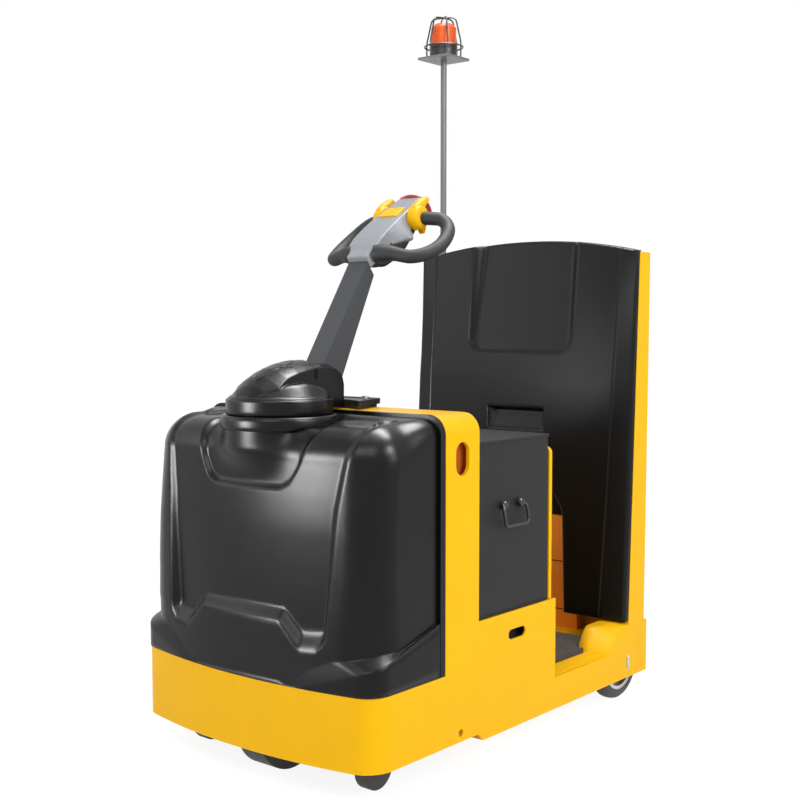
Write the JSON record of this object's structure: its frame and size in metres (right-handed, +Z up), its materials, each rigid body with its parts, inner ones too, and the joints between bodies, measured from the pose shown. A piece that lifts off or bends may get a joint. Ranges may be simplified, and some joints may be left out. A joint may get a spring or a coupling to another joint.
{
  "type": "stand-on electric tow tractor",
  "caption": "Stand-on battery tow tractor for airport baggage carts: bowed nose with moulded hood, steering tiller, battery cover, platform, tall backrest and beacon on a pole.",
  "frame": {"origin": "on the ground under the middle of the box around the whole vehicle", "axes": "+Z up, -Y towards the nose, +X towards the vehicle's left"},
  "size_m": [0.829, 1.3459, 2.1085],
  "materials": {
    "body_paint": "smooth gloss paint",
    "dark_steel": "satin paint",
    "black_moulding": "satin with a fine grain",
    "black_plastic": "satin",
    "black_steel": "semi-gloss paint",
    "grey_plastic": "satin",
    "cover_paint": "fine texture paint",
    "arm_paint": "satin paint",
    "battery_case": "matt",
    "head_grey": "satin",
    "yellow_plastic": "gloss",
    "red_plastic": "gloss",
    "grip_rubber": "fine texture",
    "mat": "ribbed",
    "tyre": "solid tread",
    "bright_steel": "machined",
    "amber": "clear amber"
  },
  "bodies": {
    "chassis": {"front_skirt": "body_paint", "hoop": "body_paint", "side_plates": "body_paint", "access_panels": "body_paint", "bulkhead": "body_paint", "floor_pan": "body_paint", "drive_plate": "dark_steel", "sills": "body_paint", "fenders": "body_paint", "platform": "body_paint", "platform_mat": "mat", "rear_wall": "body_paint", "rear_frame": "body_paint", "rear_housing": "body_paint", "backrest": "black_moulding", "motor_hood": "black_moulding", "console": "grey_plastic", "key_switch": "bright_steel", "battery": "battery_case", "battery_cover": "cover_paint", "cover_handles": "black_plastic", "rear_axles": "bright_steel", "tow_coupling": "dark_steel", "castor_mounts": "dark_steel", "beacon_pole": "cover_paint", "beacon_base": "black_plastic", "beacon_lens": "amber", "beacon_cage": "black_steel"},
    "steering": {"drive_unit": "dark_steel", "drive_motor": "dark_steel", "turret_cover": "black_moulding"},
    "tiller": {"tiller_arm": "arm_paint", "tiller_head": "head_grey", "head_cover": "black_plastic", "handle_loops": "grip_rubber", "thumb_wheels": "yellow_plastic", "head_button": "yellow_plastic", "belly_switch": "red_plastic"},
    "drive_wheel": {"drive_tyre": "tyre", "drive_hub": "bright_steel"},
    "castor_left": {"castor_fork_left": "black_steel"},
    "castor_right": {"castor_fork_right": "black_steel"},
    "castor_wheel_left_body": {"castor_wheel_left": "tyre"},
    "castor_wheel_right_body": {"castor_wheel_right": "tyre"},
    "rear_wheel_left": {"rear_tyre_left": "tyre", "rear_rim_left": "bright_steel"},
    "rear_wheel_right": {"rear_tyre_right": "tyre", "rear_rim_right": "bright_steel"},
    "hitch_pin": {"coupling_pin": "bright_steel"}
  },
  "joints": [
    {"name": "steer", "type": "hinge", "parent": "chassis", "child": "steering", "pos_m": [0, -0.517, 0.5], "axis": [0, 0, 1], "range_deg": [-90, 90]},
    {"name": "tiller_tilt", "type": "hinge", "parent": "steering", "child": "tiller", "pos_m": [0, -0.385, 0.932], "axis": [-1, 0, 0], "range_deg": [0, 30], "stiffness_Nm_per_rad": 60, "springref_deg": -68.75},
    {"name": "drive_wheel_spin", "type": "hinge", "parent": "steering", "child": "drive_wheel", "pos_m": [0, -0.517, 0.115], "axis": [1, 0, 0], "continuous": true},
    {"name": "castor_left_swivel", "type": "hinge", "parent": "chassis", "child": "castor_left", "pos_m": [0.285, -0.455, 0.15], "axis": [0, 0, 1], "continuous": true},
    {"name": "castor_right_swivel", "type": "hinge", "parent": "chassis", "child": "castor_right", "pos_m": [-0.285, -0.455, 0.15], "axis": [0, 0, 1], "continuous": true},
    {"name": "castor_left_spin", "type": "hinge", "parent": "castor_left", "child": "castor_wheel_left_body", "pos_m": [0.285, -0.495, 0.052], "axis": [1, 0, 0], "continuous": true},
    {"name": "castor_right_spin", "type": "hinge", "parent": "castor_right", "child": "castor_wheel_right_body", "pos_m": [-0.285, -0.495, 0.052], "axis": [1, 0, 0], "continuous": true},
    {"name": "rear_left_spin", "type": "hinge", "parent": "chassis", "child": "rear_wheel_left", "pos_m": [0.345, 0.508, 0.108], "axis": [1, 0, 0], "continuous": true},
    {"name": "rear_right_spin", "type": "hinge", "parent": "chassis", "child": "rear_wheel_right", "pos_m": [-0.345, 0.508, 0.108], "axis": [1, 0, 0], "continuous": true},
    {"name": "coupling_pin_lift", "type": "slide", "parent": "chassis", "child": "hitch_pin", "axis": [0, 0, 1], "range_m": [0, 0.14]}
  ]
}
